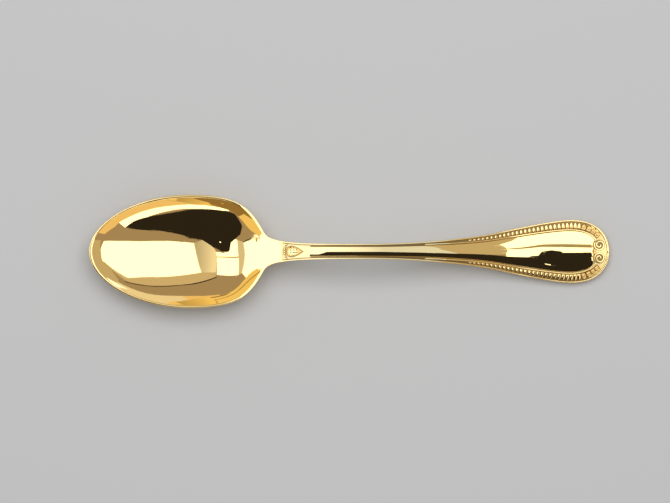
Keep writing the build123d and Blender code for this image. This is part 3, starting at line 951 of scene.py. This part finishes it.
def build_border(tree, tongue, egg):
    """The tongues, the egg leaves and the scrolls of both sides."""
    first_egg = length_at(EGGS_START)
    count = int((first_egg - length_at(TONGUES_START)) / TONGUE_PITCH)
    start = first_egg - count * TONGUE_PITCH
    scrolls = {"left": scroll_line(), "right": mirrored_line(scroll_line())}
    for side, sign in (("left", 1), ("right", -1)):
        row = border_row(start, count, TONGUE_PITCH, TONGUE_GAP, sign)
        tongues = row_mesh(side + "_tongues", tree, tongue, *row, TONGUE_HEIGHT, relief)
        mark_hollows(tongues, TONGUE_HOLLOW)
        finished(side + "_border_tongues", tongues, side + "_tongues", relief)
        row = border_row(first_egg, EGG_COUNT, EGG_PITCH, EGG_GAP, sign)
        eggs = row_mesh(side + "_eggs", tree, egg, *row, EGG_HEIGHT, relief)
        mark_hollows(eggs, EGG_HOLLOW)
        finished(side + "_border_eggs", eggs, side + "_eggs", relief)
        line = scrolls[side] + outward(scrolls[side]) * VOLUTE_LINE / 2
        scroll = ridge_mesh(side + "_volute", line, VOLUTE_LINE, VOLUTE_HEIGHT, False, FLAT_TOP, 0)
        mark_hollows(scroll, SMALL_HOLLOW)
        finished(side + "_scroll", scroll, side + "_volute", relief)


def build_small_relief(tree, petal):
    """The fan between the scrolls, and the pearls and the leaf at the neck."""
    runs = [step_along((0, 0), angle, 1) for angle in PETAL_ANGLES]
    spots = [(PALMETTE_X + PALMETTE_REACH * x, PALMETTE_REACH * y) for x, y in runs]
    turns = [tilt_of(x, run) for (x, _), run in zip(spots, runs)]
    sizes = [(*PETAL_SIZE, 1)] * len(spots)
    petals = row_mesh("end_palmette", tree, petal, on_ground(spots), turns, sizes, PALMETTE_HEIGHT, relief)
    mark_hollows(petals, SMALL_HOLLOW)
    finished("end_fan", petals, "end_palmette", relief)
    spots = pearl_spots()
    turns = [tilt_of(x, (1, 0)) for x, _ in spots]
    sizes = [(2 * PEARL_RADIUS, 2 * PEARL_RADIUS, 1)] * len(spots)
    pearls = row_mesh("neck_pearls", tree, petal, on_ground(spots), turns, sizes, PEARL_RADIUS, relief)
    mark_hollows(pearls, SMALL_HOLLOW)
    finished("neck_pearl_row", pearls, "neck_pearls", relief)
    leaf = leaf_mesh("neck_leaf")
    mark_hollows(leaf, SMALL_HOLLOW)
    finished("neck_pointed_leaf", leaf, "neck_leaf", relief)


def build_spoon():
    """Every piece of the spoon, each on its solid's place."""
    build_plates()
    build_raised_lines()
    tree = row_tree()
    tongue = shape_object("tongue_shape", tongue_rise, tongue_plan, rings=10, spokes=24)
    egg = shape_object("egg_shape", egg_rise, tongue_plan, rings=12, spokes=24)
    petal = shape_object("petal_shape", petal_rise, oval_plan)
    build_border(tree, tongue, egg)
    build_small_relief(tree, petal)
    for shape in (tongue, egg, petal):
        bpy.data.objects.remove(shape)


build_spoon()


# The studio in millimetres: outlines of the sheets that the metal mirrors, with the plane each lies on
OVERHEAD = 200.0
RIGHT_BOX = [
    (140, -94), (145, -25), (143.8, 14), (144.4, 35), (147, 85), (132, 97), (73, 218), (23, 167),
    (-33, 135), (-26, 78), (-21, 25), (-16, -47), (15, -57),
]
GAP = [(-16, -47), (-21, 25), (-26, 78), (-33, 135), (-76, 142), (-67, 3), (-59, -23), (-33, -66)]
LEFT_BOX = [
    (-67, 3), (-82, 168), (-522, 323), (-388, 50), (-364, 4), (-347, -108), (-286, -104),
    (-193, -62), (-169, -5), (-150, 2), (-101, 8),
]
LEFT_BAR = [(-68, 28.5), (-68, 34), (-390, 60), (-390, 46)]
LEFT_GAP = [(-347, -108), (-388, 50), (-522, 323), (-760, 380), (-640, -130)]
UPPER_BAND = [
    (-33, 135), (23, 167), (73, 218), (122, 130), (96, 292), (36, 292), (-13, 272), (-80, 190),
    (-76, 142),
]
UPPER_LINE = [
    (110, 292), (36, 292), (-13, 272), (-80, 190), (-88, 196), (-20, 286), (36, 308), (110, 312),
]
CAMERA_SIDE = [
    (75, -192), (23, -133), (15, -114), (-2, -92), (-8, -77), (-33, -66), (-59, -23), (-101, 8),
    (-150, 2), (-169, -5), (-193, -62), (-286, -104), (-545, -219), (-985, -592), (-1100, -1500),
    (-64, -907), (50, -312), (69, -262),
]
BOWL_GLINT = [(-91, -60), (-83, -60), (-83, -54), (-91, -54)]
RIGHT_WALL = [
    (145, -25), (143.8, 14), (144.4, 35), (147, 85), (132, 97), (118, 126), (126, 200), (140, 300),
    (700, 1500), (700, -300), (165, -110), (157, -50),
]

OVER_HANDLE = 30.0
HANDLE_FLAG = [
    (-15.5, -20), (-12.4, -9.4), (-10.8, -2.5), (-8.9, -1.5), (11.6, -1.5), (29.1, -4.6),
    (41.1, -7.6), (52.5, -7), (55.2, -7.5), (58.2, -5.9), (58.5, -4.6), (59.4, -3.8), (59.9, 0.1),
    (61, 1.1), (62, 0.1), (62.2, -0.9), (64, -0.8), (65.55, -0.6), (65.55, -22), (46, -40),
    (38, -70), (24, -100), (12, -84), (-6, -42), (-14, -40),
]
HANDLE_BAR = [
    (55.4, 4.4), (57.4, 4.8), (59.8, 6.4), (62, 5.8), (66, 5.2), (66, 2.7), (62, 3.3), (59.8, 4.1),
    (57.5, 3.0), (55.5, 3.2),
]
HANDLE_GLINT = [(59.5, -11), (60.2, -11.5), (60.3, -10.9), (59.6, -10.4)]
STEM_SHEET = [
    (-30, -20), (-15.5, -20), (-12.4, -9.4), (-10.8, -2.5), (-8.9, -1.5), (11.6, -1.5), (29, -4.4),
    (44, -7.6), (38, 6.5), (36, 60), (-30, 60),
]

NEAR_SIDE = -300.0
LOW_STRIP = [
    (134, 190), (67, 144), (31, 114), (-2, 77), (-36, 42), (-68, 26), (-119, 22), (-171, 20),
    (-178, 45), (-124, 66), (-66, 75), (-28, 89), (-3, 111), (23, 149), (49, 196), (83, 228),
    (149, 305),
]
LOW_GOLD = [
    (134, 190), (67, 144), (31, 114), (-2, 77), (-36, 42), (-68, 26), (-119, 22), (-171, 20),
    (-400, 15), (-400, -10), (330, -10), (330, 330), (180, 240),
]

FAR_SIDE = 400.0
FAR_LIGHT = [
    (600, 530), (407, 355), (251, 254), (162, 199), (102, 166), (41, 128), (-11, 101), (-54, -10),
    (600, -10),
]
FAR_GOLD = [(-11, 101), (-60, 72), (-130, 60), (-130, -10), (-54, -10)]

LEFT_SIDE = -800.0
LEFT_WALL = [
    (-146, 258), (60, 270), (237, 250), (390, 224), (470, 0), (-310, 0), (-300, 40), (-280, 70),
    (-233, 110), (-201, 135), (-177, 158), (-162, 197),
]
LEFT_EDGE = [
    (-146, 258), (-162, 197), (-177, 158), (-201, 135), (-224, 126), (-202, 154), (-187, 194),
    (-173, 256),
]

NECK_SIDE = -29.5
NECK_SHEET = [
    (-14, 8.7), (-3.4, 7.4), (2.05, 7.6), (1.75, 7.8), (1.45, 8), (0.95, 8.7), (2.4, 9.4),
    (14, 9.4), (14, 46), (-14, 46),
]

# How far one sheet lies in front of another or behind it
SHEET_STEP = 1.0

# The table, its light, the room and the camera in metres, with what a photo's pixel spans in millimetres
TABLE_HALF = 3.0
PAPER_GREY = (0.57, 0.57, 0.57, 1)
PAPER_ROUGHNESS = 0.9
LAMP_SIZE = (0.8, 0.6)
LAMP_POWER = 4.9
LAMP_PLACE = (0, 0.24, 0.8)
ROOM_LIGHT = (0.41, 0.41, 0.41, 1)
ROOM_MIRRORED = (0.38, 0.3, 0.235, 1)
PIXEL = 0.26856
PHOTO_WIDTH = 670
SPOON_MIDDLE = 350
PIXEL_HEIGHT = 0.007
EYE_HEIGHT = 0.9
SENSOR_WIDTH = 36
CLIP_START = 0.01


def emission(name, colour, strength, again=None, one_sided=False):
    """A plain glowing sheet for a soft box; again is its strength after a second bounce in the metal."""
    material = bpy.data.materials.new(name)
    material.use_nodes = True
    tree = material.node_tree
    tree.nodes.remove(tree.nodes["Principled BSDF"])
    glow = linked(tree, "ShaderNodeEmission", {"Color": (*colour, 1), "Strength": strength})
    shown = glow.outputs[0]
    if again is not None:
        bounces = tree.nodes.new("ShaderNodeLightPath").outputs["Glossy Depth"]
        tree.links.new(ranged(tree, bounces, (1.0, 2.0), (strength, again)), glow.inputs["Strength"])
    if one_sided:
        clear = tree.nodes.new("ShaderNodeBsdfTransparent").outputs[0]
        behind = tree.nodes.new("ShaderNodeNewGeometry").outputs["Backfacing"]
        shown = linked(tree, "ShaderNodeMixShader", {0: behind, 1: shown, 2: clear}).outputs[0]
    tree.links.new(shown, tree.nodes["Material Output"].inputs["Surface"])
    return material


def fading(name, colour, places, strengths):
    """A glow that changes along X, from its strength at one place to its strength at another."""
    material = emission(name, colour, strengths[0])
    tree = material.node_tree
    place = tree.nodes.new("ShaderNodeTexCoord").outputs["Object"]
    along = linked(tree, "ShaderNodeSeparateXYZ", {"Vector": place}).outputs["X"]
    change = ranged(tree, along, [x * MM for x in places], strengths)
    tree.links.new(change, tree.nodes["Emission"].inputs["Strength"])
    return material


def sheet(name, corners, material):
    """A flat sheet in the studio that only reflections see."""
    mesh = bpy.data.meshes.new(name)
    mesh.from_pydata((np.array(corners, float) * MM).tolist(), [], [tuple(range(len(corners)))])
    piece = bpy.data.objects.new(name, mesh)
    bpy.context.scene.collection.objects.link(piece)
    mesh.materials.append(material)
    piece.visible_camera = False
    piece.visible_diffuse = False
    piece.visible_shadow = False


def build_level_sheets(white, dark):
    """The soft boxes over the table, the gaps between them and the dark beside the camera."""
    stem_white = fading("stem soft box", (0.82, 0.9, 1.1), places=(14, -12), strengths=(0.95, 1.7))
    gap = fading("gap between soft boxes", (1, 0.95, 0.88), places=(-18, -62), strengths=(0.5, 0.95))
    pale = emission("pale gap", (1, 0.93, 0.84), strength=0.7)
    band = emission("edge of a soft box", (1, 0.84, 0.66), strength=0.62)
    bar = emission("bar of a soft box", (1, 0.86, 0.66), strength=0.4)
    warm = emission("warm wall", (1, 0.86, 0.66), strength=0.56)
    for name, outline, height, material in (
        ("right_soft_box", RIGHT_BOX, OVERHEAD, white),
        ("gap_sheet", GAP, OVERHEAD, gap),
        ("left_soft_box", LEFT_BOX, OVERHEAD, white),
        ("left_box_bar", LEFT_BAR, OVERHEAD - SHEET_STEP, bar),
        ("left_gap", LEFT_GAP, OVERHEAD + SHEET_STEP, pale),
        ("upper_band", UPPER_BAND, OVERHEAD, band),
        ("upper_line", UPPER_LINE, OVERHEAD, dark),
        ("camera_side", CAMERA_SIDE, OVERHEAD, dark),
        ("bowl_glint", BOWL_GLINT, OVERHEAD - SHEET_STEP, white),
        ("right_wall", RIGHT_WALL, OVERHEAD, warm),
        ("handle_flag", HANDLE_FLAG, OVER_HANDLE, dark),
        ("handle_box_bar", HANDLE_BAR, OVER_HANDLE, bar),
        ("handle_glint", HANDLE_GLINT, OVER_HANDLE - SHEET_STEP, white),
        ("stem_soft_box", STEM_SHEET, OVER_HANDLE, stem_white),
    ):
        sheet(name, [(x, y, height) for x, y in outline], material)


def build_upright_sheets(white, dark):
    """The cards and walls at the sides of the table."""
    neck_white = emission("neck soft box", (1, 1, 1), strength=2.0, again=0.9, one_sided=True)
    orange = emission("gold card", (1, 0.74, 0.4), strength=0.88)
    light = emission("pale card", (1, 0.92, 0.82), strength=0.85)
    for name, outline, y, material in (
        ("low_strip", LOW_STRIP, NEAR_SIDE, white),
        ("low_gold_card", LOW_GOLD, NEAR_SIDE - SHEET_STEP, orange),
        ("far_pale_card", FAR_LIGHT, FAR_SIDE, light),
        ("far_gold_card", FAR_GOLD, FAR_SIDE, orange),
    ):
        sheet(name, [(x, y, z) for x, z in outline], material)
    for name, outline, x, material in (
        ("left_wall_box", LEFT_WALL, LEFT_SIDE, white),
        ("left_wall_edge", LEFT_EDGE, LEFT_SIDE, dark),
        ("neck_soft_box", NECK_SHEET, NECK_SIDE, neck_white),
    ):
        sheet(name, [(x, y, z) for y, z in outline], material)


def build_table():
    """A plain pale table that keeps the shadow."""
    mesh = bpy.data.meshes.new("table")
    corners = [(x * TABLE_HALF, y * TABLE_HALF, 0) for x, y in ((-1, -1), (1, -1), (1, 1), (-1, 1))]
    mesh.from_pydata(corners, [], [(0, 1, 2, 3)])
    table = bpy.data.objects.new("table", mesh)
    bpy.context.scene.collection.objects.link(table)
    paper = bpy.data.materials.new("table paper")
    paper.use_nodes = True
    look = paper.node_tree.nodes["Principled BSDF"].inputs
    look["Base Color"].default_value = PAPER_GREY
    look["Roughness"].default_value = PAPER_ROUGHNESS
    look["Specular IOR Level"].default_value = 0.0
    mesh.materials.append(paper)


def build_light():
    """The lamp over the table, which the metal doesn't mirror, and the room."""
    scene = bpy.context.scene
    lamp = bpy.data.lights.new("overhead", "AREA")
    lamp.shape = "RECTANGLE"
    lamp.size, lamp.size_y = LAMP_SIZE
    lamp.energy = LAMP_POWER
    over = bpy.data.objects.new("overhead", lamp)
    over.location = LAMP_PLACE
    over.rotation_euler = (-over.location).to_track_quat("-Z", "Y").to_euler()
    over.visible_glossy = False
    scene.collection.objects.link(over)
    world = bpy.data.worlds.new("room")
    scene.world = world
    world.use_nodes = True
    tree = world.node_tree
    glossy = tree.nodes.new("ShaderNodeLightPath").outputs["Is Glossy Ray"]
    air = mixed(tree, glossy, ROOM_LIGHT, ROOM_MIRRORED)
    tree.links.new(air, tree.nodes["Background"].inputs["Color"])


def build_camera():
    """The camera straight above the table, with the spoon where the photo has it."""
    scene = bpy.context.scene
    camera = bpy.data.cameras.new("camera")
    eye = bpy.data.objects.new("camera", camera)
    scene.collection.objects.link(eye)
    camera.sensor_width = SENSOR_WIDTH
    camera.lens = SENSOR_WIDTH * (EYE_HEIGHT - PIXEL_HEIGHT) / (PHOTO_WIDTH * PIXEL * MM)
    camera.clip_start = CLIP_START
    eye.location = ((PHOTO_WIDTH / 2 - SPOON_MIDDLE) * PIXEL * MM, 0, EYE_HEIGHT)
    scene.camera = eye


def build_stage():
    """The table, what the metal mirrors, the light and the camera."""
    bpy.context.scene.view_settings.view_transform = "Standard"
    white = emission("soft box", (1, 1, 1), strength=2.0, again=0.9)
    dark = emission("dark flag", (1, 0.85, 0.75), strength=0.024, again=0.3)
    build_table()
    build_level_sheets(white, dark)
    build_upright_sheets(white, dark)
    build_light()
    build_camera()


build_stage()
